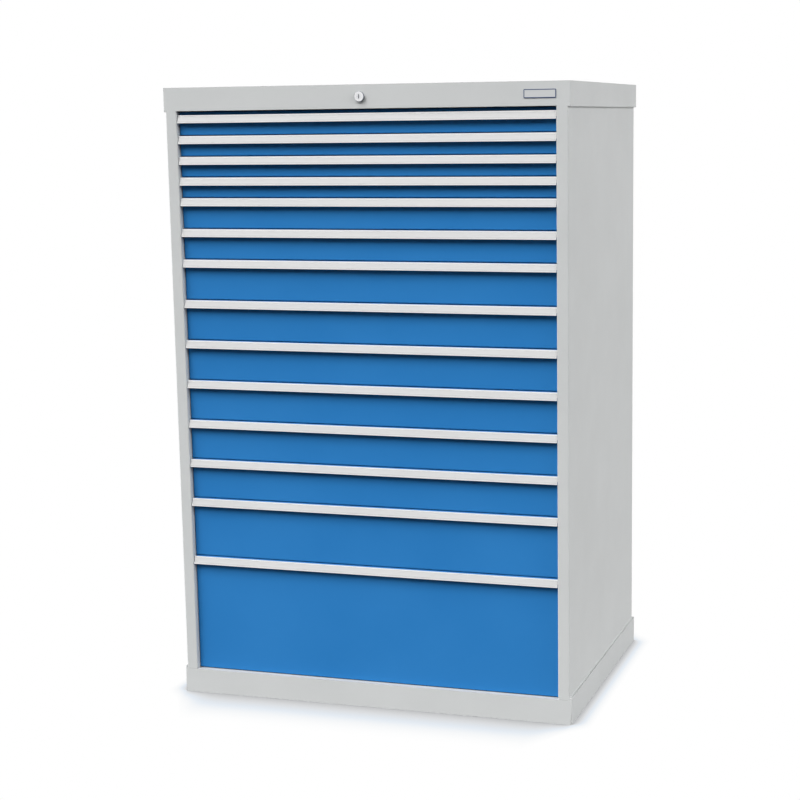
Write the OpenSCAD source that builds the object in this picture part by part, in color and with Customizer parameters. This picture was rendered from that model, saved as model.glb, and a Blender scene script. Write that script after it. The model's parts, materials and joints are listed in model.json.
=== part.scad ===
// Floor-standing workshop cabinet with fourteen full-extension drawers, full-width grip strips
// and one central key lock. Millimetres, +Z up, front towards -Y.
// The origin is on the floor, in the middle of the housing's footprint.

/* [Housing] */
// Width across the two side panels
body_w = 1005; // [800:5:1300]
// Depth of the housing, front frame to rear skirts
body_d = 736; // [640:2:900]
// Height of the plinth's front band, floor to drawer opening
base_h = 61; // [48:1:120]
// Height of the cap's front band, drawer opening to top
cap_h = 56; // [52:1:90]
// How far cap and plinth stand out past each side panel
overhang = 6; // [4:0.5:12]
// How far the plinth's side skirts rise past the front band
plinth_lap = 5; // [4:0.5:20]
// How far the cap's side skirts drop past the front band
cap_lap = 2; // [2:0.5:12]
// Depth of the groove between a side panel and the skirts
skirt_groove = 5; // [2:0.5:10]
// Sheet thickness of the housing
sheet = 1.5; // [1:0.1:2.5]
// Inner radius of every fold
bend_r = 1; // [0.5:0.1:2]
// Corner radius of cap and plinth in plan
corner_r = 3; // [2:0.5:6]
// Width of the front posts beside the drawers
post_w = 28; // [24:1:50]
// Depth of the posts' folded returns, and of sill and header
post_depth = 40; // [30:1:60]
// Width of the side panels' rear flanges
rear_flange = 24; // [18:1:40]
// Width of the plinth's flange on the floor
foot_w = 30; // [20:1:60]

/* [Drawers] */
// Height of one drawer unit
unit_h = 25; // [25:0.5:32]
// How far the drawer grid starts below the sill
grid_drop = 4; // [0:0.5:4]
// Clearance between the last front and the sill
sill_air = 1.5; // [1:0.5:4]
// Space between the first drawer's strip and the header
top_gap = 9; // [6:0.5:20]
// Clearance between the first front and the header
top_air = 2; // [1:0.5:4]
// Depth of the drawer fronts behind the front frame
recess = 14; // [12:0.5:20]
// Clearance between a front and a post
side_gap = 2; // [1:0.25:4]
// Clearance between one front and the next
front_gap = 1.6; // [1:0.1:3]
// Sheet thickness of fronts and trays
tray_t = 1.2; // [0.8:0.1:2]
// Depth of the hollow front, face to tray
front_box = 18; // [12:0.5:30]
// Space behind the trays for the locking bar
rear_space = 102; // [90:1:150]
// Height of a tray's floor above its unit
tray_lift = 6; // [5.5:0.5:7]
// Drop of a tray's rim below the top of its unit
tray_drop = 6; // [5:0.5:8]
// Width of the trays' folded rims
rim_w = 4.5; // [3.5:0.25:5]

/* [Grip strips] */
// Height of the strip
grip_h = 19; // [17:0.5:26]
// How far the strip's face leans back
grip_lean = 6; // [3:0.25:7]
// Wall of the strip's face
grip_t = 1.8; // [1.6:0.1:2.4]
// Wall of the strip's web and flange
web_t = 1.6; // [1.2:0.1:2]
// Height of the lips that hold a label
lip_h = 2.2; // [1:0.1:3]
// Depth of the label's bed
label_bed = 0.7; // [0.4:0.1:0.9]
// Clearance between the strip's ends and the posts
grip_gap = 1; // [0.5:0.25:3]

/* [Runners] */
// Height of a runner
runner_h = 34; // [28:1:36]
// Width of a runner, tray to upright
runner_w = 21; // [19:0.5:26]
// Sheet thickness of the rails
rail_t = 2; // [1.5:0.1:2.5]
// Height of a runner's middle line above its unit
runner_lift = 25; // [22:0.5:26]
// Clearance between runners and posts
runner_air = 2; // [1:0.25:4]
// Gap that the balls fill between nested rails
ball_gap = 0.4; // [0.3:0.05:0.8]
// Length of the fixed rails behind the trays
rail_tail = 45; // [30:1:60]
// Width of an upright's face
upright_w = 36; // [30:1:60]
// Width of an upright's feet on the side panel
upright_foot = 12; // [8:0.5:20]
// Height of the slots in the uprights
slot_h = 12; // [11:0.5:14]
// Width of the hooks on the fixed rails
hook_w = 6; // [4:0.5:12]

/* [Lock] */
// Distance of the lock from the middle of the front
lock_x = 0; // [-200:1:200]
// Diameter of the lock's rosette
lock_d = 24; // [21:0.5:30]
// How far the rosette stands out of the band
lock_proud = 7; // [3:0.5:12]
// Diameter of the barrel through the band
barrel_d = 19; // [17:0.5:20]
// Diameter of the turning plug
plug_d = 13; // [12:0.5:15]
// Diameter of the shaft to the rear
shaft_d = 10; // [8:0.5:12]
// Lift of the locking bar over a quarter turn
bar_lift = 12; // [10:0.5:13]
// Thickness of the locking bar
bar_t = 4; // [3:0.5:6]
// Width of the locking bar
bar_w = 26; // [20:1:34]
// Diameter of the pins on the locking bar
pin_d = 8; // [6:0.5:10]
// Length of the catches behind the trays
catch_l = 40; // [36:1:46]
// Width of the catches
catch_w = 16; // [10:1:24]
// Width of the bare plate on the band
plate_w = 76; // [50:1:120]
// Height of the bare plate
plate_h = 20; // [14:1:36]

/* [Hidden] */
$fn = 48;
bend_steps = 3;
// Drawer heights in units, from the top
drawer_units = [2, 2, 2, 2, 3, 3, 4, 4, 4, 4, 4, 4, 6, 12];
count = len(drawer_units);

// Named clearances of the moving pieces
bore_gap = 0.05;
seat_gap = 0.1;
guide_gap = 0.3;
crank_gap = 0.6;
crank_air = 3;
hook_gap = 0.5;
screw_gap = 0.1;
rail_air = 2;
web_air = 0.8;
tip_air = 2.2;
bar_air = 3;
lock_play = 2;
pin_air = 2;
// How far a cut runs past the face that it opens
past = 1;

// Main planes of the housing
hw = body_w / 2;
front = -body_d / 2;
back = body_d / 2;
open_hw = hw - post_w;

grid_low = base_h - grid_drop;
function units_below(i) = i >= count - 1 ? 0 : drawer_units[i + 1] + units_below(i + 1);
function unit_z(i) = grid_low + unit_h * units_below(i);
function drawer_h(i) = unit_h * drawer_units[i];

all_units = units_below(0) + drawer_units[0];
open_top = grid_low + unit_h * all_units + top_gap;
total_h = open_top + cap_h;
under_cap = total_h - sheet;
panel_y = back - 2 * sheet;
flange_y = panel_y - sheet;

// Planes of the drawers
front_hw = open_hw - side_gap;
face_y = front + recess;
tray_front = face_y + front_box;
tray_back = back - rear_space;
rail_out = open_hw - runner_air;
tray_hw = rail_out - runner_w;
function strip_top(i) = unit_z(i) + drawer_h(i) - front_gap / 2;
function front_top(i) = i == 0 ? open_top - top_air : strip_top(i);
function front_low(i) = i == count - 1 ? base_h + sill_air : unit_z(i) + front_gap / 2;
function runner_z(i) = unit_z(i) + runner_lift;

// Runner sections, each nested in the one outside it
rail_front = front + post_depth + rail_air;
rail_back = tray_back + rail_tail;
middle_short = 5;
middle_back = rail_back - middle_short;
rail_flange = runner_w - 2 * rail_t - web_air - tip_air;
fixed_half = runner_h / 2;
middle_half = fixed_half - rail_t - ball_gap;
inner_half = middle_half - rail_t - ball_gap;
middle_out = rail_out - rail_t - web_air;
middle_in = tray_hw + rail_t + tip_air;
upright_t = sheet;
upright_half = upright_w / 2 + upright_foot;
upright_y = [rail_front + upright_half, rail_back - upright_half];
hook_neck = 5;
hook_lip = 6;
slot_z = runner_lift - hook_neck;

// Lock train
lock_z = open_top + cap_h / 2;
crank_r = bar_lift / (2 * sin(45));
crank_pin_d = 6;
crank_t = 4;
catch_t = 3;
bar_y = tray_back + catch_l - catch_t - lock_play - pin_d / 2;
bar_x = lock_x + catch_w / 2 + bar_air;
yoke_t = 4;
crank_y = bar_y - yoke_t / 2 - crank_air - crank_t;
pin_rise = 1;
pin_low = tray_lift + pin_rise;
pin_z = pin_low + pin_d / 2;
tooth_low = pin_low + pin_d + pin_air;
catch_z = tooth_low + bar_lift + pin_air;
bracket_t = 3;
guide_t = 3;
barrel_l = 30;
plug_tail = 4;

// Screws of the back panel
screw_count = 6;
screw_d = 4;
screw_head_d = 9;
screw_margin = 40;
screw_x = hw - rear_flange / 2;
screw_low = base_h + plinth_lap + screw_margin;
screw_high = open_top - screw_margin;
function screw_z(k) = screw_low + k * (screw_high - screw_low) / (screw_count - 1);

two = function (i) str(i < 9 ? "0" : "", i + 1);
drawers = [0:count - 1];

// Bent sheet. The middle line of the sheet is a path, and each corner of the path becomes an arc.
function unit(v) = v / norm(v);
function left(v) = [-v[1], v[0]];
function turned(v, a) = [v[0] * cos(a) - v[1] * sin(a), v[0] * sin(a) + v[1] * cos(a)];
function end_point(p, d, off) = [p + left(d) * off];
function bend(a, b, c, off, mid_r) =
    let (
        d1 = unit(b - a),
        d2 = unit(c - b),
        angle = atan2(cross(d1, d2), d1 * d2),
        hand = sign(angle),
        centre = b + hand * unit(left(d1) + left(d2)) * mid_r / cos(angle / 2)
    )
    [for (k = [0:bend_steps]) centre - hand * turned(left(d1), angle * k / bend_steps) * (mid_r - hand * off)];
function sheet_side(path, off, mid_r) =
    let (last = len(path) - 1)
    [for (i = [0:last]) each
        i == 0 ? end_point(path[0], unit(path[1] - path[0]), off)
        : i == last ? end_point(path[last], unit(path[last] - path[last - 1]), off)
        : bend(path[i - 1], path[i], path[i + 1], off, mid_r)];
function reversed(list) = [for (i = [len(list) - 1:-1:0]) list[i]];
function fold(path, t) = concat(
    sheet_side(path, t / 2, bend_r + t / 2),
    reversed(sheet_side(path, -t / 2, bend_r + t / 2))
);

// Rectangle with round corners, about the middle of the plan
function arc(centre, r, from) =
    [for (k = [0:bend_steps]) centre + r * turned([cos(from), sin(from)], 90 * k / bend_steps)];
function plan(w, d, r) = concat(
    arc([w / 2 - r, d / 2 - r], r, 0),
    arc([r - w / 2, d / 2 - r], r, 90),
    arc([r - w / 2, r - d / 2], r, 180),
    arc([w / 2 - r, r - d / 2], r, 270)
);

// Extrusions along the three axes, and a block between two corners
module along_x(x0, x1) {
    translate([x0, 0, 0]) rotate([90, 0, 90]) linear_extrude(x1 - x0) children();
}
module along_y(y0, y1) {
    translate([0, y1, 0]) rotate([90, 0, 0]) linear_extrude(y1 - y0) children();
}
module along_z(z0, z1) {
    translate([0, 0, z0]) linear_extrude(z1 - z0) children();
}
module block(low, high) {
    translate(low) cube(high - low);
}
module both_sides() {
    children();
    mirror([1, 0, 0]) children();
}

// Housing

module side_panel() {
    skin_x = hw - sheet / 2;
    post_y = front + sheet / 2;
    return_x = open_hw + sheet / 2;
    rear_y = panel_y - sheet / 2;
    difference() {
        union() {
            along_z(sheet, under_cap)
                polygon(fold([[hw - rear_flange, rear_y], [skin_x, rear_y], [skin_x, front + sheet]], sheet));
            along_z(base_h, open_top)
                polygon(fold([
                    [skin_x, front + post_depth],
                    [skin_x, post_y],
                    [return_x, post_y],
                    [return_x, front + post_depth]
                ], sheet));
        }
        screw_holes();
    }
}

module screw_holes() {
    for (k = [0:screw_count - 1])
        translate([screw_x, back, screw_z(k)])
            rotate([90, 0, 0]) cylinder(d = screw_d + 2 * screw_gap, h = rear_flange);
}

module side_panel_left() {
    color("lightgray") mirror([1, 0, 0]) side_panel();
}

module side_panel_right() {
    color("lightgray") side_panel();
}

module back_panel() {
    stiffener = 12;
    clear_hw = hw - rear_flange - stiffener;
    color("lightgray") difference() {
        union() {
            block([2 * sheet - hw, panel_y, sheet], [hw - 2 * sheet, panel_y + sheet, under_cap]);
            block([-clear_hw, panel_y - stiffener, sheet], [clear_hw, panel_y, 2 * sheet]);
            block([-clear_hw, panel_y - stiffener, under_cap - sheet], [clear_hw, panel_y, under_cap]);
        }
        both_sides() screw_holes();
    }
}

module back_screws() {
    head_h = sheet - screw_gap;
    color("silver") both_sides() for (k = [0:screw_count - 1])
        translate([screw_x, back - sheet, screw_z(k)]) {
            rotate([90, 0, 0]) cylinder(d = screw_d, h = 5 * sheet);
            rotate([-90, 0, 0]) cylinder(d = screw_head_d, h = head_h);
        }
}

// Ring of skirts seen in plan, with its inner wall one sheet inside the outer one
module skirt_ring() {
    w = body_w + 2 * overhang;
    difference() {
        polygon(plan(w, body_d, corner_r));
        polygon(plan(w - 2 * sheet, body_d - 2 * sheet, corner_r - sheet / 2));
    }
}

module side_lips(z) {
    both_sides() block([hw, front + sheet / 2, z], [hw + overhang - sheet / 2, back - sheet / 2, z + sheet]);
}

module base_plinth() {
    skirt_top = base_h + plinth_lap;
    w = body_w + 2 * overhang;
    color("lightgray") union() {
        difference() {
            along_z(0, skirt_top) skirt_ring();
            block([-hw, front - past, base_h], [hw, front + 2 * sheet, skirt_top + past]);
        }
        along_z(0, sheet) difference() {
            polygon(plan(w, body_d, corner_r));
            square([w - 2 * foot_w, body_d - 2 * foot_w], center = true);
        }
        block(
            [sheet - hw, front + sheet / 2, base_h - sheet],
            [hw - sheet, front + post_depth, base_h]
        );
        side_lips(skirt_top - skirt_groove - sheet);
    }
}

module top_cap() {
    skirt_low = open_top - cap_lap;
    w = body_w + 2 * overhang;
    color("lightgray") difference() {
        union() {
            difference() {
                along_z(skirt_low, total_h) skirt_ring();
                block([-hw, front - past, skirt_low - past], [hw, front + 2 * sheet, open_top]);
            }
            along_z(under_cap, total_h) polygon(plan(w, body_d, corner_r));
            block(
                [sheet - hw, front + sheet / 2, open_top],
                [hw - sheet, front + post_depth, open_top + sheet]
            );
            side_lips(skirt_low + skirt_groove);
        }
        on_lock_axis(front - past) cylinder(d = barrel_d + 2 * bore_gap, h = sheet + 2 * past);
    }
}

// The floor lies under the sill, and ends short of the fold at the rear of the side panels
module floor_panel() {
    edge_h = 20;
    floor_front = front + post_depth / 2;
    floor_back = flange_y - bend_r;
    half_w = hw - sheet;
    mid_z = base_h - 1.5 * sheet;
    side_x = half_w - sheet / 2;
    color("lightgray") along_y(floor_front, floor_back)
        polygon(fold([
            [-side_x, mid_z - edge_h],
            [-side_x, mid_z],
            [side_x, mid_z],
            [side_x, mid_z - edge_h]
        ], sheet));
}

// Slotted hat-section uprights that the fixed rails hook into
module upright(y) {
    foot_x = hw - sheet - upright_t / 2;
    web_x = rail_out + upright_t / 2;
    edge = upright_w / 2;
    difference() {
        along_z(base_h - sheet, open_top)
            polygon(fold([
                [foot_x, y - edge - upright_foot],
                [foot_x, y - edge],
                [web_x, y - edge],
                [web_x, y + edge],
                [foot_x, y + edge],
                [foot_x, y + edge + upright_foot]
            ], upright_t));
        slot_w = hook_w + 2 * hook_gap;
        for (k = [0:all_units - 1])
            translate([rail_out - past, y - slot_w / 2, grid_low + k * unit_h + slot_z])
                cube([upright_t + 2 * past, slot_w, slot_h]);
    }
}

module uprights() {
    color("gainsboro") both_sides() for (y = upright_y) upright(y);
}

// C-section of a rail: the web stands at web_x, and the flanges run towards tip_x
function rail_section(web_x, tip_x, z, half) =
    let (
        inward = sign(tip_x - web_x),
        mid_x = web_x + inward * rail_t / 2,
        mid_h = half - rail_t / 2
    )
    fold([[tip_x, z + mid_h], [mid_x, z + mid_h], [mid_x, z - mid_h], [tip_x, z - mid_h]], rail_t);

module rail_hook(y, z) {
    behind = rail_out + upright_t + hook_gap / 2;
    tip = behind + rail_t;
    translate([0, hook_w / 2 + y, 0]) rotate([90, 0, 0]) linear_extrude(hook_w)
        polygon([
            [rail_out - rail_t / 2, z],
            [behind, z],
            [behind, z - hook_lip],
            [tip, z - hook_lip],
            [tip, z + hook_neck],
            [rail_out - rail_t / 2, z + hook_neck]
        ]);
}

module fixed_rails() {
    for (i = drawers) {
        along_y(rail_front, rail_back)
            polygon(rail_section(rail_out, rail_out - rail_flange, runner_z(i), fixed_half));
        for (y = upright_y) rail_hook(y, unit_z(i) + slot_z);
    }
}

module fixed_rails_left() {
    color("silver") mirror([1, 0, 0]) fixed_rails();
}

module fixed_rails_right() {
    color("silver") fixed_rails();
}

// Drawers

module runner(i) {
    color("silver") both_sides() along_y(rail_front, middle_back)
        polygon(rail_section(middle_out, middle_in, runner_z(i), middle_half));
}

// Hollow front: a face with four folded returns, closed at the back by the tray's own front wall
module drawer_front(i) {
    low = front_low(i) + tray_t / 2;
    high = front_top(i) - tray_t / 2;
    face = face_y + tray_t / 2;
    path = [[tray_front, low], [face, low], [face, high], [tray_front, high]];
    along_x(-front_hw, front_hw) polygon(fold(path, tray_t));
    both_sides() along_x(front_hw - tray_t, front_hw)
        polygon(sheet_side(path, tray_t / 2, bend_r + tray_t / 2));
    block([-tray_hw, tray_front - tray_t, low], [tray_hw, tray_front, high]);
}

module drawer_tray(i) {
    floor_z = unit_z(i) + tray_lift + tray_t / 2;
    rim_z = unit_z(i) + drawer_h(i) - tray_drop - tray_t / 2;
    wall_x = tray_hw - tray_t / 2;
    rim_x = tray_hw + rim_w;
    along_y(tray_front - tray_t / 2, tray_back)
        polygon(fold([
            [-rim_x, rim_z],
            [-wall_x, rim_z],
            [-wall_x, floor_z],
            [wall_x, floor_z],
            [wall_x, rim_z],
            [rim_x, rim_z]
        ], tray_t));
    wall_y = tray_back - tray_t / 2;
    along_x(tray_t / 2 - tray_hw, tray_hw - tray_t / 2)
        polygon(fold([[wall_y, floor_z], [wall_y, rim_z], [tray_back + rim_w, rim_z]], tray_t));
}

// Catch bolted behind the tray: a foot on the wall, an arm, and a tooth that the bar's pin rises in front of
module drawer_catch(i) {
    foot_h = 12;
    arm_z = unit_z(i) + catch_z + catch_t / 2;
    tooth_y = tray_back + catch_l - catch_t / 2;
    foot_y = tray_back + seat_gap + catch_t / 2;
    foot_top = min(arm_z + foot_h, unit_z(i) + drawer_h(i) - tray_drop - 2 * tray_t);
    along_x(lock_x - catch_w / 2, lock_x + catch_w / 2)
        polygon(fold([
            [foot_y, foot_top],
            [foot_y, arm_z],
            [tooth_y, arm_z],
            [tooth_y, unit_z(i) + tooth_low]
        ], catch_t));
}

module drawer_box(i) {
    color("steelblue") {
        union() {
            drawer_front(i);
            drawer_tray(i);
            both_sides() along_y(tray_front - tray_t / 2, tray_back)
                polygon(rail_section(tray_hw - tray_t / 2, tray_hw + rail_flange, runner_z(i), inner_half));
        }
        drawer_catch(i);
    }
}

// Drawn aluminium grip: a leaning face with a label bed, a hem for the fingers, a web and a flange.
// The section runs from the front plane backwards and from the strip's top edge downwards.
function grip_face(v) = grip_lean * (v + grip_h) / grip_h;
function grip_section() =
    let (
        web_top = -4,
        web_low = web_top - web_t,
        flange_u = recess - web_t,
        flange_top = -1.5,
        flange_low = -14,
        hem_w = 3.6
    )
    [
        [grip_face(-grip_h), -grip_h],
        [grip_face(-grip_h) + hem_w, -grip_h],
        [grip_face(-grip_h) + hem_w, web_t - grip_h],
        [grip_face(web_t - grip_h) + grip_t, web_t - grip_h],
        [grip_face(web_low) + grip_t, web_low],
        [flange_u, web_low],
        [flange_u, flange_low],
        [recess, flange_low],
        [recess, flange_top],
        [flange_u, flange_top],
        [flange_u, web_top],
        [grip_face(web_top) + grip_t, web_top],
        [grip_face(0) + grip_t, 0],
        [grip_face(0), 0],
        [grip_face(-lip_h), -lip_h],
        [grip_face(-lip_h) + label_bed, -lip_h],
        [grip_face(lip_h - grip_h) + label_bed, lip_h - grip_h],
        [grip_face(lip_h - grip_h), lip_h - grip_h]
    ];

module handle(i) {
    half_l = open_hw - grip_gap;
    color("whitesmoke") translate([0, front, strip_top(i)]) along_x(-half_l, half_l) polygon(grip_section());
}

// Lock

// Piece on the lock's axis, drawn along +Z and then laid along +Y from the front plane
module on_lock_axis(y) {
    translate([lock_x, y, lock_z]) rotate([-90, 0, 0]) children();
}

module lock_housing() {
    edge = 1.5;
    color("silver") on_lock_axis(front) rotate_extrude()
        polygon([
            [plug_d / 2, -lock_proud],
            [lock_d / 2 - edge, -lock_proud],
            [lock_d / 2, edge - lock_proud],
            [lock_d / 2, 0],
            [barrel_d / 2, 0],
            [barrel_d / 2, barrel_l],
            [plug_d / 2, barrel_l]
        ]);
}

module lock_nut() {
    nut_h = 6;
    nut_wall = 5;
    color("silver") on_lock_axis(front + sheet) difference() {
        cylinder(d = barrel_d + 2 * nut_wall, h = nut_h, $fn = 6);
        translate([0, 0, -past]) cylinder(d = barrel_d, h = nut_h + 2 * past);
    }
}

module lock_plug() {
    key_depth = 14;
    key_w = 2;
    key_wall = 1.5;
    key_h = plug_d - 2 * key_wall;
    sunk = 0.5;
    plug_l = lock_proud - sunk + barrel_l + plug_tail;
    color("dimgray") on_lock_axis(front - lock_proud + sunk) difference() {
        cylinder(d = plug_d - 2 * bore_gap, h = plug_l);
        translate([-key_w / 2, -key_h / 2, -past]) cube([key_w, key_h, key_depth + past]);
        translate([0, 0, -past]) cylinder(d = 2 * key_w, h = key_depth + past);
    }
}

// Crank outline round the shaft and the crank pin, which points down and left at rest
module crank_outline() {
    shaft_wall = 3;
    pin_wall = 2;
    circle(d = shaft_d + 2 * shaft_wall);
    translate(crank_r * [-cos(45), -sin(45)]) circle(d = crank_pin_d + 2 * pin_wall);
}

module lock_shaft() {
    shaft_y = front + barrel_l + plug_tail;
    pin_l = yoke_t + 2 * crank_air;
    color("silver") union() {
        on_lock_axis(shaft_y) cylinder(d = shaft_d, h = crank_y - shaft_y + crank_t);
        translate([lock_x, 0, lock_z]) along_y(crank_y, crank_y + crank_t) crank_outline();
        translate([lock_x - crank_r * cos(45), crank_y, lock_z - crank_r * sin(45)])
            rotate([-90, 0, 0]) cylinder(d = crank_pin_d, h = crank_t + pin_l);
    }
}

module shaft_bracket() {
    bracket_wall = 10;
    bracket_air = 8;
    half_w = shaft_d / 2 + bracket_wall;
    plate_y = crank_y - bracket_air;
    foot_l = 22;
    color("silver") difference() {
        along_x(lock_x - half_w, lock_x + half_w)
            polygon(fold([
                [plate_y, lock_z - half_w],
                [plate_y, under_cap - bracket_t / 2],
                [plate_y - foot_l, under_cap - bracket_t / 2]
            ], bracket_t));
        on_lock_axis(plate_y - bracket_t) cylinder(d = shaft_d + 2 * bore_gap, h = 2 * bracket_t);
    }
}

// Flat bar with a hole for each pin's rivet and a slot for the yoke's tab
module locking_bar() {
    bar_rise = 2;
    rivet_d = 5;
    rivet_h = 1.5;
    yoke_wall = 5;
    pin_short = 2;
    pin_tip = lock_x - catch_w / 2 + pin_short;
    slot_half = crank_pin_d / 2 + crank_gap;
    slot_mid = lock_z - bar_lift / 2;
    slot_left = lock_x - crank_r - slot_half;
    slot_right = lock_x - crank_r * cos(45) + slot_half;
    yoke_half = slot_half + yoke_wall;
    bar_far = bar_x + bar_t;
    color("silver") {
        difference() {
            block(
                [bar_x, bar_y - bar_w / 2, base_h + bar_rise],
                [bar_far, bar_y + bar_w / 2, slot_mid + yoke_half]
            );
            for (i = drawers)
                on_pin_axis(i, bar_x - past) cylinder(d = rivet_d + 2 * bore_gap, h = bar_t + 2 * past);
            block(
                [bar_x - past, bar_y - yoke_t / 2 - bore_gap, slot_mid - slot_half - bore_gap],
                [bar_far + past, bar_y + yoke_t / 2 + bore_gap, slot_mid + slot_half + bore_gap]
            );
        }
        for (i = drawers)
            on_pin_axis(i, 0) rotate_extrude()
                polygon([
                    [0, pin_tip],
                    [pin_d / 2, pin_tip],
                    [pin_d / 2, bar_x - seat_gap],
                    [rivet_d / 2, bar_x - seat_gap],
                    [rivet_d / 2, bar_far + seat_gap],
                    [pin_d / 2, bar_far + seat_gap],
                    [pin_d / 2, bar_far + seat_gap + rivet_h],
                    [0, bar_far + seat_gap + rivet_h]
                ]);
        along_y(bar_y - yoke_t / 2, bar_y + yoke_t / 2) difference() {
            union() {
                translate([slot_left - yoke_wall, slot_mid - yoke_half])
                    square([bar_x - seat_gap - slot_left + yoke_wall, 2 * yoke_half]);
                translate([slot_right, slot_mid - slot_half]) square([bar_far - slot_right, 2 * slot_half]);
            }
            translate([slot_left, slot_mid - slot_half]) square([slot_right - slot_left, 2 * slot_half]);
        }
    }
}

// Piece on the axis of a drawer's pin, drawn along +Z and then laid along +X
module on_pin_axis(i, x) {
    translate([x, bar_y, unit_z(i) + pin_z]) rotate([0, 90, 0]) children();
}

// Guides that hold the bar off the back panel, level with three of the drawers
module bar_guides() {
    wall = 5;
    foot_h = 25;
    guided = [1, 7, 12];
    color("silver") for (i = guided) {
        z = unit_z(i) + drawer_h(i) - tray_drop - guide_t;
        along_z(z, z + guide_t) difference() {
            translate([bar_x - wall, bar_y - bar_w / 2 - wall])
                square([bar_t + 2 * wall, panel_y - bar_y + bar_w / 2 + wall]);
            translate([bar_x - guide_gap, bar_y - bar_w / 2 - guide_gap])
                square([bar_t + 2 * guide_gap, bar_w + 2 * guide_gap]);
        }
        block([bar_x - wall, panel_y - guide_t, z - foot_h], [bar_x + bar_t + wall, panel_y, z + guide_t / 2]);
    }
}

module name_plate() {
    plate_t = 1.2;
    rim = 1.6;
    bed = 0.5;
    color("gainsboro") translate([open_hw - plate_w / 2, front, lock_z]) difference() {
        along_y(-plate_t, 0) polygon(plan(plate_w, plate_h, rim));
        along_y(-plate_t - past, bed - plate_t)
            square([plate_w - 2 * rim, plate_h - 2 * rim], center = true);
    }
}

side_panel_left();
side_panel_right();
back_panel();
top_cap();
base_plinth();
floor_panel();
uprights();
fixed_rails_left();
fixed_rails_right();
back_screws();
name_plate();
lock_housing();
lock_nut();
lock_plug();
lock_shaft();
shaft_bracket();
locking_bar();
bar_guides();
for (i = drawers) {
    drawer_box(i);
    handle(i);
    runner(i);
}
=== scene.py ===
# %% [markdown]
# # A workshop drawer cabinet in a plain studio
#
# The sheet-steel housing, the drawers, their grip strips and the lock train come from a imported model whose
# sizes and joints are fixed. This script only dresses it: it rounds edges, gives every surface a finish,
# adds the small pieces that are too fine for the solids, and sets up light and camera.
# Each added piece takes its place from the frame's own boxes.

# %% Load the fixed frame
import json
from math import cos, pi, radians, sin

import bpy
import numpy as np
from mathutils import Matrix, Vector


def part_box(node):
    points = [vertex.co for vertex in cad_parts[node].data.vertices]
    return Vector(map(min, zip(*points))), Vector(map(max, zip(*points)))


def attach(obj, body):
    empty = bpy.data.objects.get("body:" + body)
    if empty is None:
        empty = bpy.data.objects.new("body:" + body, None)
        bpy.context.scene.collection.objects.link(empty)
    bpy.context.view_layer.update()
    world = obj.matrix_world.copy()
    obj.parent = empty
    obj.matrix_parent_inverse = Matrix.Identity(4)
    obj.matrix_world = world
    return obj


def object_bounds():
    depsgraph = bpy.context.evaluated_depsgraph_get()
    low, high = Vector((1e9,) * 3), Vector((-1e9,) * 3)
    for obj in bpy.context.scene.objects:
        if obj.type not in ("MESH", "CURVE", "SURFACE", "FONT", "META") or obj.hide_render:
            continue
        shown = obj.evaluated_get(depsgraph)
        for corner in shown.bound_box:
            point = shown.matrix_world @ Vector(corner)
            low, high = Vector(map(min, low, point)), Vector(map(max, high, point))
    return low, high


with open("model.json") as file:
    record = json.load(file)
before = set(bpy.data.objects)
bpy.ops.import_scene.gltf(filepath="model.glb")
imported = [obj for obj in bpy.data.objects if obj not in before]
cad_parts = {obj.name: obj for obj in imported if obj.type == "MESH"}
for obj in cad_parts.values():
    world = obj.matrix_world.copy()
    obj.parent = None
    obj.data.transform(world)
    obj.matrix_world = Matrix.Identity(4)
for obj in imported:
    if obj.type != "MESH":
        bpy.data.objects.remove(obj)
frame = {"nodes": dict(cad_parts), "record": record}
cad_low, cad_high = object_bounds()
nodes = frame["nodes"]
scene = bpy.context.scene
drawer_numbers = sorted(name[-2:] for name in nodes if name.startswith("handle_"))
print(len(nodes), "nodes,", len(drawer_numbers), "drawers, box", tuple(cad_low), tuple(cad_high))

# %% [markdown]
# ## The camera
#
# The picture was taken from the right of the middle, at about shoulder height, and looks slightly down. The
# place, the three angles and the lens were worked out from the straight edges of the cabinet. A camera in
# Blender looks along its own -Z, so its matrix is made from the right, up and forward directions. A small
# lens shift stands for the crop of the picture.

# %% Camera
camera_place = Vector((1.4734, -4.3398, 1.4375))
camera_turn = radians(17.296)
camera_dip = radians(9.672)
camera_roll = radians(-0.724)
lens_mm = 79.84
sensor_mm = 36.0
frame_shift = (-0.075, 0.0275)

forward = Vector((-sin(camera_turn) * cos(camera_dip), cos(camera_turn) * cos(camera_dip), -sin(camera_dip)))
level_right = Vector((cos(camera_turn), sin(camera_turn), 0.0))
level_up = level_right.cross(forward)
right = level_right * cos(camera_roll) + level_up * sin(camera_roll)
up = level_up * cos(camera_roll) - level_right * sin(camera_roll)

camera = bpy.data.objects.new("studio_camera", bpy.data.cameras.new("studio_camera"))
camera.data.sensor_width = sensor_mm
camera.data.lens = lens_mm
camera.data.shift_x, camera.data.shift_y = frame_shift
camera.matrix_world = Matrix.Translation(camera_place) @ Matrix((right, up, -forward)).transposed().to_4x4()
scene.collection.objects.link(camera)
scene.camera = camera
print("camera at", tuple(camera_place), "lens", lens_mm, "mm")

# %% [markdown]
# ## Light
#
# The picture has soft light from high in front and from the left: each grip strip throws a shadow on the
# drawer under it that fades over about 30 mm, the left post shades the drawers beside it, and the right side
# is nearly as bright as the front. A sun lamp lights top and bottom of a tall object alike, which an area
# lamp close by would not, and its angle makes the shadow's edge soft. Two suns stand high in front, a weak
# one fills from the right, and one stands at each side and one behind. Mirrors don't show the lamps, only
# the white room, so bright metal keeps the tone that its finish gives it.

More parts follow.
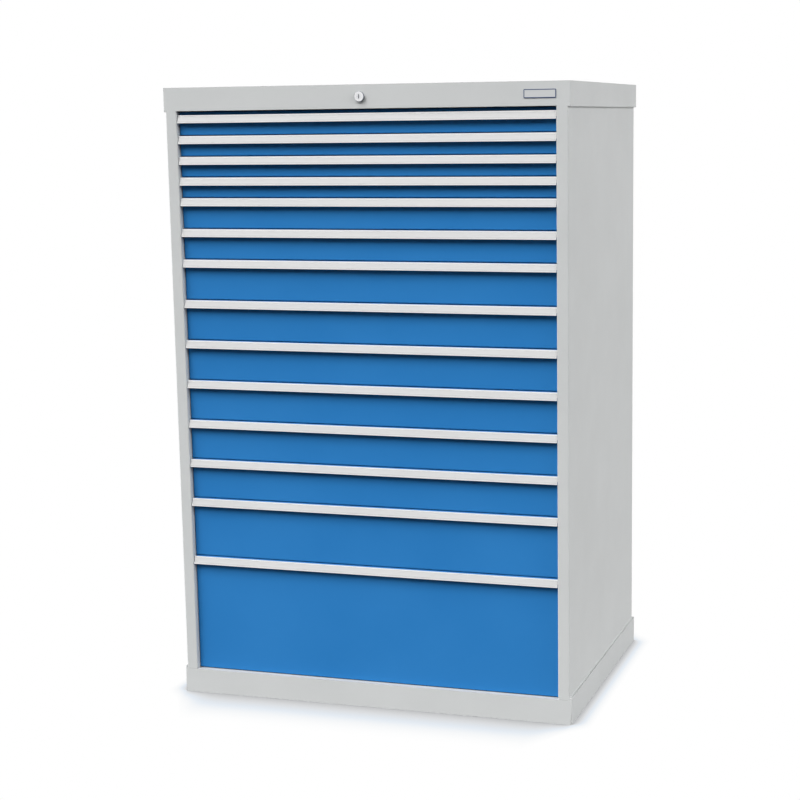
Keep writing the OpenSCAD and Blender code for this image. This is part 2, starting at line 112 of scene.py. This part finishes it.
# %% Light
lamp_distance = 5.0
lamps = {
    # name: (turn from straight in front to the right, height above the horizon, soft angle, strength)
    "key_left": (-52, 42, 48, 3.02),
    "key_high": (-18, 54, 50, 2.30),
    "fill_right": (62, 33, 26, 0.89),
    "side_right": (90, 14, 34, 1.94),
    "side_left": (-98, 8, 40, 0.3),
    "rear": (180, 4, 12, 2.35),
}
for name, (turn, height, soft, strength) in lamps.items():
    lamp = bpy.data.objects.new(name, bpy.data.lights.new(name, "SUN"))
    lamp.data.energy = strength
    lamp.data.angle = radians(soft)
    towards = Vector((
        sin(radians(turn)) * cos(radians(height)),
        -cos(radians(turn)) * cos(radians(height)),
        sin(radians(height)),
    ))
    lamp.rotation_mode = "QUATERNION"
    lamp.rotation_quaternion = towards.to_track_quat("Z", "Y")
    lamp.location = towards * lamp_distance
    lamp.visible_glossy = False
    scene.collection.objects.link(lamp)
scene.view_settings.view_transform = "Standard"
print("lamps:", ", ".join(lamps))

# %% [markdown]
# ## Small node helpers
#
# World, floor and finishes are all node trees, and most of their nodes do one sum each. A few helpers place
# such a node, bring numbers or other nodes' sockets to its inputs, and hand back its output, so that a tree
# reads like a formula.

# %% Node helpers


def feed(tree, term, slot):
    """Brings a term to an input: a socket is linked to it, and a number or colour is set on it."""
    if isinstance(term, bpy.types.NodeSocket):
        tree.links.new(term, slot)
    else:
        slot.default_value = term


def worked_out(tree, operation, *terms):
    """The result of one Math node with the given terms."""
    node = tree.nodes.new("ShaderNodeMath")
    node.operation = operation
    for term, slot in zip(terms, node.inputs):
        feed(tree, term, slot)
    return node.outputs[0]


def stretched(tree, vector, factors):
    """The vector with each part multiplied by its factor."""
    node = tree.nodes.new("ShaderNodeVectorMath")
    node.operation = "MULTIPLY"
    tree.links.new(vector, node.inputs[0])
    feed(tree, factors, node.inputs[1])
    return node.outputs["Vector"]


def length_of(tree, vector):
    """The length of a vector."""
    node = tree.nodes.new("ShaderNodeVectorMath")
    node.operation = "LENGTH"
    tree.links.new(vector, node.inputs[0])
    return node.outputs["Value"]


def parts_of(tree, vector):
    """The outputs X, Y and Z of a vector."""
    node = tree.nodes.new("ShaderNodeSeparateXYZ")
    tree.links.new(vector, node.inputs["Vector"])
    return node.outputs


def mapped(tree, value, start=0.0, end=1.0, first=0.0, last=1.0, way="LINEAR"):
    """first up to start, last from end on, and between them a straight or smooth way."""
    node = tree.nodes.new("ShaderNodeMapRange")
    node.interpolation_type = way
    node.inputs["From Min"].default_value = start
    node.inputs["From Max"].default_value = end
    node.inputs["To Min"].default_value = first
    node.inputs["To Max"].default_value = last
    tree.links.new(value, node.inputs["Value"])
    return node.outputs["Result"]


print("node helpers ready")

# %% [markdown]
# ## White room
#
# A material or world can ask what kind of ray has hit it. Camera rays, and the rays that mirrors and glass
# send on, see white here. The rays that gather light for the paint see a dim room instead, so the white
# doesn't wash out the shadows.

# %% World


def seen_mask(tree):
    """1 on camera, mirror and glass rays, and 0 on every other: the largest of three Light Path outputs."""
    ray = tree.nodes.new("ShaderNodeLightPath").outputs
    camera_or_mirror = worked_out(tree, "MAXIMUM", ray["Is Camera Ray"], ray["Is Glossy Ray"])
    return worked_out(tree, "MAXIMUM", camera_or_mirror, ray["Is Transmission Ray"])


def show_or_light(tree, shown, lighting, output):
    """Sends one shader to the rays that see, and the other to the rays that gather light.

    Both shader inputs of a Mix Shader have the same name, so they go by number.
    """
    choose = tree.nodes.new("ShaderNodeMixShader")
    tree.links.new(seen_mask(tree), choose.inputs["Fac"])
    tree.links.new(lighting.outputs[0], choose.inputs[1])
    tree.links.new(shown.outputs[0], choose.inputs[2])
    tree.links.new(choose.outputs[0], tree.nodes.new(output).inputs["Surface"])


room_fill = 0.012
world = bpy.data.worlds.new("white_room")
scene.world = world
world.use_nodes = True
tree = world.node_tree
tree.nodes.clear()
fill = tree.nodes.new("ShaderNodeBackground")
fill.inputs["Strength"].default_value = room_fill
white = tree.nodes.new("ShaderNodeBackground")
white.inputs["Color"].default_value = (1.0, 1.0, 1.0, 1.0)
show_or_light(tree, white, fill, "ShaderNodeOutputWorld")
print("world fill", room_fill)

# %% [markdown]
# ## Floor
#
# The floor is white, with a painted contact shadow only where the cabinet stands close above or beside it,
# and a cool tint halfway: an Ambient Occlusion node measures how open the floor is, and a ramp turns that
# into a colour. Its reach is longer in front than beside the cabinet, as in the picture. The paint also gets
# light back from the floor. To the rays that gather it, the floor is a glow that is stronger near the cabinet
# than far away, so the lower drawers are a little brighter than the upper ones.

# %% Floor
floor_half = 30.0
floor_mesh = bpy.data.meshes.new("studio_floor")
corners = np.array([(-1, -1, 0), (1, -1, 0), (1, 1, 0), (-1, 1, 0)], float) * floor_half
floor_mesh.from_pydata(corners, [], [(0, 1, 2, 3)])
floor = bpy.data.objects.new("studio_floor", floor_mesh)
scene.collection.objects.link(floor)

reach_front, reach_side = 0.2, 0.05
reach_turns_from, reach_turns_to = cad_high.x - 0.09, cad_high.x + 0.02
shade_samples = 24
# Colours of the painted contact shadow on the floor.
floor_shadow_tones = {
    # how open the floor is: its colour there; fully open floor is white
    0.50: (0.46, 0.47, 0.48, 1.0),
    0.66: (0.72, 0.725, 0.735, 1.0),
    0.79: (0.77, 0.83, 0.90, 1.0),
    0.88: (0.91, 0.925, 0.94, 1.0),
}
bounce_near, bounce_far = 0.7, 2.2
glow_near, glow_far = 0.15, 0.033

floor_paint = bpy.data.materials.new("studio_floor")
floor_paint.use_nodes = True
tree = floor_paint.node_tree
tree.nodes.clear()
ground = tree.nodes.new("ShaderNodeTexCoord").outputs["Object"]
aside = worked_out(tree, "ABSOLUTE", parts_of(tree, ground)["X"])
reach = mapped(tree, aside, reach_turns_from, reach_turns_to, reach_front, reach_side, way="SMOOTHSTEP")
openness = tree.nodes.new("ShaderNodeAmbientOcclusion")
openness.samples = shade_samples
tree.links.new(reach, openness.inputs["Distance"])
shade = tree.nodes.new("ShaderNodeValToRGB")
tones = shade.color_ramp.elements
# A new ramp runs from black to white: the black end goes, and the white one stays.
tones.remove(tones[0])
for position, colour in floor_shadow_tones.items():
    tones.new(position).color = colour
tree.links.new(openness.outputs["AO"], shade.inputs["Fac"])
shown = tree.nodes.new("ShaderNodeEmission")
tree.links.new(shade.outputs["Color"], shown.inputs["Color"])
away = length_of(tree, ground)
glow = mapped(tree, away, bounce_near, bounce_far, glow_near, glow_far, way="SMOOTHSTEP")
bounce = tree.nodes.new("ShaderNodeEmission")
tree.links.new(glow, bounce.inputs["Strength"])
show_or_light(tree, shown, bounce, "ShaderNodeOutputMaterial")
floor_mesh.materials.append(floor_paint)
print("contact shadow reach", reach_front, "m in front,", reach_side, "m beside")

# %% [markdown]
# ## Shared surface effects
#
# Powder coat, drawn aluminium and zinc plate each have a fine relief and slow changes of tone. Effects that
# several finishes share are node groups: a group is built once, and each material places it with its own
# values. A group here gives out only values, and the shader stays in the material.

# %% Node groups


def start_group(name, inputs, outputs):
    """An empty shader node group with the given sockets: the group, what comes in and what goes out."""
    group = bpy.data.node_groups.new(name, "ShaderNodeTree")
    for label, kind in inputs.items():
        group.interface.new_socket(label, in_out="INPUT", socket_type=kind)
    for label in outputs:
        group.interface.new_socket(label, in_out="OUTPUT", socket_type="NodeSocketFloat")
    return group, group.nodes.new("NodeGroupInput").outputs, group.nodes.new("NodeGroupOutput").inputs


def noise(tree, place, scale, detail=2.0, roughness=0.5):
    """A noise texture at a place; its scale is a number or a socket."""
    node = tree.nodes.new("ShaderNodeTexNoise")
    node.inputs["Detail"].default_value = detail
    node.inputs["Roughness"].default_value = roughness
    feed(tree, scale, node.inputs["Scale"])
    tree.links.new(place, node.inputs["Vector"])
    return node.outputs["Fac"]


peel_group, given, result = start_group(
    "orange_peel", {"Place": "NodeSocketVector", "Peel Scale": "NodeSocketFloat"}, ["Height", "Mottle"],
)
peel_group.links.new(noise(peel_group, given["Place"], given["Peel Scale"]), result["Height"])
clouds = noise(peel_group, given["Place"], scale=5.0, detail=4.0)
peel_group.links.new(mapped(peel_group, clouds, start=0.3, end=0.7), result["Mottle"])

drawn_group, given, result = start_group(
    "drawn_lines", {"Place": "NodeSocketVector", "Stretch": "NodeSocketVector"}, ["Height", "Streak"],
)
squeezed = stretched(drawn_group, given["Place"], given["Stretch"])
lines = noise(drawn_group, squeezed, scale=1.0, detail=3.0)
drawn_group.links.new(lines, result["Height"])
drawn_group.links.new(mapped(drawn_group, lines, start=0.35, end=0.65), result["Streak"])

touch_group, given, result = start_group("touch_marks", {"Place": "NodeSocketVector"}, ["Smudge"])
marks = noise(touch_group, given["Place"], scale=14.0, detail=5.0, roughness=0.6)
touch_group.links.new(mapped(touch_group, marks, start=0.5, end=0.75), result["Smudge"])
print("groups:", ", ".join(group.name for group in (peel_group, drawn_group, touch_group)))

# %% [markdown]
# ## Finishes
#
# Every finish starts from the Principled shader. What is the same all over is set on its own socket, and
# what changes over the surface, such as tone, roughness and relief, comes from the groups. All patterns read
# Object coordinates in metres, so a scale of 400 means a grain of about 2.5 mm.

# %% Material helpers
# A Mix node has sockets for values, vectors and colours under the same names, so they go by number here.
mix_factor, mix_first, mix_second, mix_result = 0, 6, 7, 2


def linear(*srgb):
    """Screen colour, 0 to 255, as linear light with alpha 1: the two-part sRGB curve on whole arrays."""
    c = np.array(srgb, float) / 255.0
    light = np.where(c <= 0.04045, c / 12.92, ((c + 0.055) / 1.055) ** 2.4)
    return (*light, 1.0)


def start_material(name, metallic=0.0):
    """A material with one Principled shader: the material, its tree, the shader and the place socket."""
    made = bpy.data.materials.new(name)
    made.use_nodes = True
    tree = made.node_tree
    shader = tree.nodes["Principled BSDF"]
    shader.inputs["Metallic"].default_value = metallic
    place = tree.nodes.new("ShaderNodeTexCoord").outputs["Object"]
    return made, tree, shader, place


def use_group(tree, group, place, **values):
    """Places a group in a material, with its own values on the group's inputs."""
    node = tree.nodes.new("ShaderNodeGroup")
    node.node_tree = group
    tree.links.new(place, node.inputs["Place"])
    for label, value in values.items():
        node.inputs[label.replace("_", " ")].default_value = value
    return node.outputs


def blend(tree, mask, first, second):
    """The colour first where the mask is 0, and second where it is 1; each is a colour or a socket."""
    mix = tree.nodes.new("ShaderNodeMix")
    mix.data_type = "RGBA"
    tree.links.new(mask, mix.inputs[mix_factor])
    feed(tree, first, mix.inputs[mix_first])
    feed(tree, second, mix.inputs[mix_second])
    return mix.outputs[mix_result]


def tone(tree, mask, first, second, shader):
    """Blends two colours by a mask into the shader's colour."""
    tree.links.new(blend(tree, mask, first, second), shader.inputs["Base Color"])


def gloss(tree, mask, first, last, shader):
    """Carries a mask into the shader's roughness: first where it is 0, and last where it is 1."""
    tree.links.new(mapped(tree, mask, first=first, last=last), shader.inputs["Roughness"])


def relief(tree, height, strength, depth, shader):
    """A bump of the given depth in metres, into the shader's normal."""
    bump = tree.nodes.new("ShaderNodeBump")
    bump.inputs["Strength"].default_value = strength
    bump.inputs["Distance"].default_value = depth
    tree.links.new(height, bump.inputs["Height"])
    tree.links.new(bump.outputs["Normal"], shader.inputs["Normal"])


def centred_on(tree, place, centre):
    """The place measured from a centre: a Mapping node moves it by -centre."""
    node = tree.nodes.new("ShaderNodeMapping")
    node.inputs["Location"].default_value = -centre
    tree.links.new(place, node.inputs["Vector"])
    return node.outputs["Vector"]


print("material helpers ready")

# %% [markdown]
# ### Powder coat
#
# The housing and the drawers are powder coated. The powder melts into a skin with a soft orange peel and an
# even satin gloss, so the coat has a small relief, a tone that drifts by one or two per cent, and slightly
# glossier places where hands rub. The top face and the sill under the lowest drawer get a duller grey as
# painted shade, which keeps the top from going white under the high lamps and puts the sill in shade: two
# thin slabs, cut from the Object coordinates, say where.

# %% Powder coats
coat_peel = 430.0
sheet = 0.0015
# Half thickness of the slabs on the top face and the sill that get painted shade.
shade_slab_half = 0.0006
sill_end = 0.004


def powder_coat(name, dark, light):
    """Satin paint between two close colours, with orange peel and slow mottle."""
    made, tree, shader, place = start_material(name)
    peel = use_group(tree, peel_group, place, Peel_Scale=coat_peel)
    touch = use_group(tree, touch_group, place)
    tone(tree, peel["Mottle"], dark, light, shader)
    gloss(tree, touch["Smudge"], first=0.46, last=0.40, shader=shader)
    relief(tree, peel["Height"], strength=0.12, depth=0.0002, shader=shader)
    shader.inputs["IOR"].default_value = 1.33
    shader.inputs["Specular IOR Level"].default_value = 0.2
    return made


def paint_top_and_sill_shade(paint, top, sill, sill_half, shade_tone):
    """Lays painted shade, a darker grey, on the slabs |z - top| < d and |z - sill| < d with |x| < sill_half,
    where d is the half thickness of a slab.

    Touch marks take up to three tenths of it away.
    """
    tree = paint.node_tree
    target = tree.nodes["Principled BSDF"].inputs["Base Color"]
    bare = target.links[0].from_socket
    place = tree.nodes.new("ShaderNodeTexCoord").outputs["Object"]
    parts = parts_of(tree, place)
    on_top = worked_out(tree, "COMPARE", parts["Z"], top, shade_slab_half)
    at_sill = worked_out(tree, "COMPARE", parts["Z"], sill, shade_slab_half)
    between_ends = worked_out(tree, "COMPARE", parts["X"], 0.0, sill_half)
    on_sill = worked_out(tree, "MULTIPLY", at_sill, between_ends)
    in_shade = worked_out(tree, "MAXIMUM", on_top, on_sill)
    untouched = mapped(tree, use_group(tree, touch_group, place)["Smudge"], first=1.0, last=0.7)
    amount = worked_out(tree, "MULTIPLY", in_shade, untouched)
    tree.links.new(blend(tree, amount, bare, shade_tone), target)


sill_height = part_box("floor_panel")[1].z + sheet
sill_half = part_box("side_panel_right")[1].x - sill_end
housing_paint = powder_coat("housing_paint", linear(193, 195, 195), linear(197, 199, 199))
# The top face and the sill take a darker grey here as painted shade.
paint_top_and_sill_shade(housing_paint, cad_high.z, sill_height, sill_half, linear(176, 177, 177))
drawer_paint = powder_coat("drawer_paint", linear(41, 115, 179), linear(45, 119, 183))
print("powder coats:", housing_paint.name, drawer_paint.name)

# %% [markdown]
# ### Bare and plated metal
#
# The grips are drawn aluminium, with faint lines along their length. Rails, bar and uprights are zinc plated.
# The lock is bright nickel with a turned face. The flank of its rosette is a darker grey, painted shade for
# the side of the rosette that lies in shade, which shows as a thin dark ring. Polished metal shows what it
# mirrors, so the tone of these finishes comes from their colour, their roughness and the white room.

# %% Metals
ring_roughness = 0.05


def drawn_metal(name, dark, light, rough_low, rough_high, stretch):
    """Metal with lines drawn along one axis: tone, roughness and relief follow the same streaks."""
    made, tree, shader, place = start_material(name, metallic=1.0)
    lines = use_group(tree, drawn_group, place, Stretch=stretch)
    tone(tree, lines["Streak"], dark, light, shader)
    gloss(tree, lines["Streak"], first=rough_high, last=rough_low, shader=shader)
    relief(tree, lines["Height"], strength=0.08, depth=0.0001, shader=shader)
    return made


def zinc_plate(name):
    """Bright zinc: small crystal patches of slightly different grey, and a fine relief."""
    made, tree, shader, place = start_material(name, metallic=1.0)
    crystals = tree.nodes.new("ShaderNodeTexVoronoi")
    crystals.inputs["Scale"].default_value = 160.0
    tree.links.new(place, crystals.inputs["Vector"])
    shades = tree.nodes.new("ShaderNodeSeparateColor")
    tree.links.new(crystals.outputs["Color"], shades.inputs["Color"])
    tone(tree, shades.outputs["Red"], linear(176, 178, 180), linear(196, 198, 200), shader)
    gloss(tree, shades.outputs["Green"], first=0.32, last=0.42, shader=shader)
    peel = use_group(tree, peel_group, place, Peel_Scale=900.0)
    relief(tree, peel["Height"], strength=0.06, depth=0.0001, shader=shader)
    return made


def turned_metal(name, centre, dark, light, roughness, face_radius, flank):
    """Metal faced on a lathe: fine rings about an axis along Y through centre.

    Points whose distance from the axis, the length of (x, 0, z), is over face_radius take the flank's colour.
    """
    made, tree, shader, place = start_material(name, metallic=1.0)
    from_axis = centred_on(tree, place, centre)
    rings = tree.nodes.new("ShaderNodeTexWave")
    rings.wave_type = "RINGS"
    rings.rings_direction = "Y"
    rings.inputs["Scale"].default_value = 420.0
    rings.inputs["Distortion"].default_value = 0.4
    tree.links.new(from_axis, rings.inputs["Vector"])
    ring = rings.outputs["Fac"]
    radius = length_of(tree, stretched(tree, from_axis, (1.0, 0.0, 1.0)))
    beyond = worked_out(tree, "GREATER_THAN", radius, face_radius)
    tone(tree, beyond, blend(tree, ring, dark, light), flank, shader)
    gloss(tree, ring, first=roughness, last=roughness + ring_roughness, shader=shader)
    relief(tree, ring, strength=0.05, depth=0.00005, shader=shader)
    return made


grip_aluminium = drawn_metal(
    "grip_aluminium", linear(246, 247, 247), linear(252, 252, 252),
    rough_low=0.36, rough_high=0.46, stretch=(1.5, 900.0, 900.0),
)
zinc_steel = zinc_plate("zinc_steel")

lock_low, lock_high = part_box("lock_housing")
lock_axis = Vector(((lock_low.x + lock_high.x) / 2, 0.0, (lock_low.z + lock_high.z) / 2))
lock_radius = (lock_high.x - lock_low.x) / 2
lock_rim = 0.0005
# The rosette's flank gets this darker grey as painted shade.
flank_shade_grey = linear(140, 148, 160)
lock_chrome = turned_metal(
    "lock_chrome", lock_axis, linear(228, 229, 231), linear(238, 238, 239),
    roughness=0.2, face_radius=lock_radius - lock_rim, flank=flank_shade_grey,
)
lock_steel = turned_metal(
    "lock_steel", lock_axis, linear(218, 220, 223), linear(230, 231, 233),
    roughness=0.24, face_radius=lock_radius, flank=flank_shade_grey,
)
print("metals:", grip_aluminium.name, zinc_steel.name, lock_chrome.name, lock_steel.name)

# %% [markdown]
# ### The bare plate
#
# A small plate sits at the right of the top band. It stays bare: a fine brushed field with a dark printed
# edge. The edge is a mask worked out from the plate's own box: how far a point lies from the middle of the
# plate, compared with where the edge starts.

# %% Plate


def edged_plate(name, low, high, edge):
    """Brushed plate with a dark edge: 1 where |x - middle| > half - edge, or the same in z."""
    made, tree, shader, place = start_material(name, metallic=0.6)
    parts = parts_of(tree, centred_on(tree, place, (low + high) / 2))
    inner = (high - low) / 2 - Vector((edge, edge, edge))
    beside = worked_out(tree, "GREATER_THAN", worked_out(tree, "ABSOLUTE", parts["X"]), inner.x)
    above = worked_out(tree, "GREATER_THAN", worked_out(tree, "ABSOLUTE", parts["Z"]), inner.z)
    on_edge = worked_out(tree, "MAXIMUM", beside, above)
    tone(tree, on_edge, linear(198, 200, 201), linear(52, 72, 112), shader)
    lines = use_group(tree, drawn_group, place, Stretch=(6.0, 1500.0, 1500.0))
    gloss(tree, lines["Streak"], first=0.5, last=0.4, shader=shader)
    relief(tree, lines["Height"], strength=0.06, depth=0.0001, shader=shader)
    return made


plate_metal = edged_plate("plate_metal", *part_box("name_plate"), edge=0.0017)
print("plate:", plate_metal.name)

# %% [markdown]
# ## Dressing the frame's own pieces
#
# Each node keeps its mesh and takes its finish by its slot in the record. Folded steel has no knife edges,
# so a Weld joins the loose triangles and a Bevel rounds what is sharp by a fraction of a millimetre. The
# rounded edge catches the light as a thin line.

# %% Finishes and edges
finish_of_slot = {
    "housing_paint": housing_paint,
    "drawer_paint": drawer_paint,
    "grip_aluminium": grip_aluminium,
    "zinc_steel": zinc_steel,
    "lock_chrome": lock_chrome,
    "lock_steel": lock_steel,
    "plate_metal": plate_metal,
}
edge_round = {
    "housing_paint": 0.0005,
    "drawer_paint": 0.0004,
    "grip_aluminium": 0.0003,
    "lock_chrome": 0.0004,
}
sharp_angle = radians(35)
# Points or faces that are a hair apart count as touching.
hair = 0.00002


def round_edges(piece, width):
    """Joins loose triangles, then rounds every edge sharper than sharp_angle."""
    weld = piece.modifiers.new("join", "WELD")
    weld.merge_threshold = hair
    bevel = piece.modifiers.new("round", "BEVEL")
    bevel.width = width
    bevel.segments = 2
    bevel.limit_method = "ANGLE"
    bevel.angle_limit = sharp_angle


for part in frame["record"]["subparts"]:
    piece = nodes[part["node"]]
    piece.data.materials.clear()
    piece.data.materials.append(finish_of_slot[part["material_slot"]])
    width = edge_round.get(part["material_slot"])
    if width:
        round_edges(piece, width)

# %% [markdown]
# ## Label strips
#
# Each grip has a shallow bed between two lips, and a blank strip of matt plastic lies in it. The strip is a
# flat bar with rounded front edges: one closed outline in the plane across the grip, carried along X. The
# outline leans back with the grip's face, so its points are given along the face and square to it.

# %% Outlines


def carried_outline(name, outline, low, high, axis=0):
    """A closed outline carried from low to high: points are (y, z) along axis 0, and (x, z) along axis 1.

    With n points, vertex i is point i at low, and vertex i + n is point i at high. Side i joins points i and
    i + 1 (mod n) of both ends, and each end is closed by one face.
    """
    n = len(outline)
    ends = [np.insert(outline, axis, place, axis=1) for place in (low, high)]
    i = np.arange(n)
    following = (i + 1) % n
    sides = np.column_stack((i, following, following + n, i + n))
    mesh = bpy.data.meshes.new(name)
    mesh.from_pydata(np.concatenate(ends), [], [*sides.tolist(), i[::-1].tolist(), (i + n).tolist()])
    piece = bpy.data.objects.new(name, mesh)
    scene.collection.objects.link(piece)
    return piece


def rounded_bar(width, thickness, radius, steps=6):
    """Outline of a bar from the origin: s runs across its width, t out of its face, with two round edges.

    The edges are quarter circles (s, t) = c + r (cos a, sin a), with a from 0 to 90 degrees at the upper edge
    and from 90 to 180 degrees at the lower one.
    """
    a = np.linspace(0.0, pi / 2, steps)
    upper = np.column_stack((width - radius + radius * np.cos(a), thickness - radius + radius * np.sin(a)))
    lower = np.column_stack((radius - radius * np.sin(a), thickness - radius + radius * np.cos(a)))
    return np.concatenate(([(0.0, 0.0), (width, 0.0)], upper, lower))


print("outlines ready")

# %% Label strips
grip_lean = 0.006
lip_height = 0.0022
bed_depth = 0.0007
label_play = 0.0002
label_thick = 0.00045
label_edge = 0.0002
label_inset = 0.001

label_plastic, tree, shader, place = start_material("label_plastic")
peel = use_group(tree, peel_group, place, Peel_Scale=1500.0)
tone(tree, peel["Mottle"], linear(181, 181, 181), linear(185, 185, 185), shader)
gloss(tree, peel["Mottle"], first=0.40, last=0.46, shader=shader)
relief(tree, peel["Height"], strength=0.05, depth=0.0001, shader=shader)

for number in drawer_numbers:
    low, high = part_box("handle_" + number)
    slope = np.array((grip_lean, high.z - low.z))
    face_length = np.linalg.norm(slope)
    along = slope / face_length
    out = np.array((-along[1], along[0]))
    start = (lip_height + label_play) * face_length / slope[1]
    bar = rounded_bar(face_length - 2 * start, label_thick, label_edge)
    seat = np.array((low.y, low.z)) + along * start - out * (bed_depth - hair) * along[1]
    outline = seat + bar[:, :1] * along + bar[:, 1:] * out
    label = carried_outline("label_" + number, outline, low.x + label_inset, high.x - label_inset)
    label.data.materials.append(label_plastic)
    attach(label, "drawer_" + number)
print("labels:", len(drawer_numbers), "of", round(face_length * 1000, 1), "mm face")

# %% [markdown]
# ## Painted seams
#
# The plinth stands a few millimetres out from the side panels. In the picture that joint is only a faint
# line: it is closed by a hollow fillet under the paint. The fillet starts on the panel, falls as a parabola
# and ends a little under the top edge of the plinth.

# %% Painted seams


def hollow_fillet(width, rise, sink, depth, steps=9):
    """Outline from the panel outwards: (s width, rise (1 - s)^2 - sink s) for s from 0 to 1.

    A flat foot at -depth closes it.
    """
    s = np.linspace(0.0, 1.0, steps)
    top = np.column_stack((s * width, rise * (1.0 - s) ** 2 - sink * s))
    return np.concatenate((top, [(width, -depth), (0.0, -depth)]))


panel_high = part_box("side_panel_right")[1]
plinth_low, plinth_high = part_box("base_plinth")
seam_width = plinth_high.x - panel_high.x - sheet - 2 * hair
fillet = hollow_fillet(seam_width, rise=0.0014, sink=0.0014, depth=0.004)
fillet += (panel_high.x + hair, plinth_high.z)
mirrored = (fillet * (-1.0, 1.0))[::-1]
for side, outline in (("left", mirrored), ("right", fillet)):
    seam = carried_outline("seam_" + side, outline, plinth_low.y + sheet, plinth_high.y - sheet, axis=1)
    seam.data.materials.append(housing_paint)
    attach(seam, "housing")
print("seams", round(seam_width * 1000, 2), "mm wide")
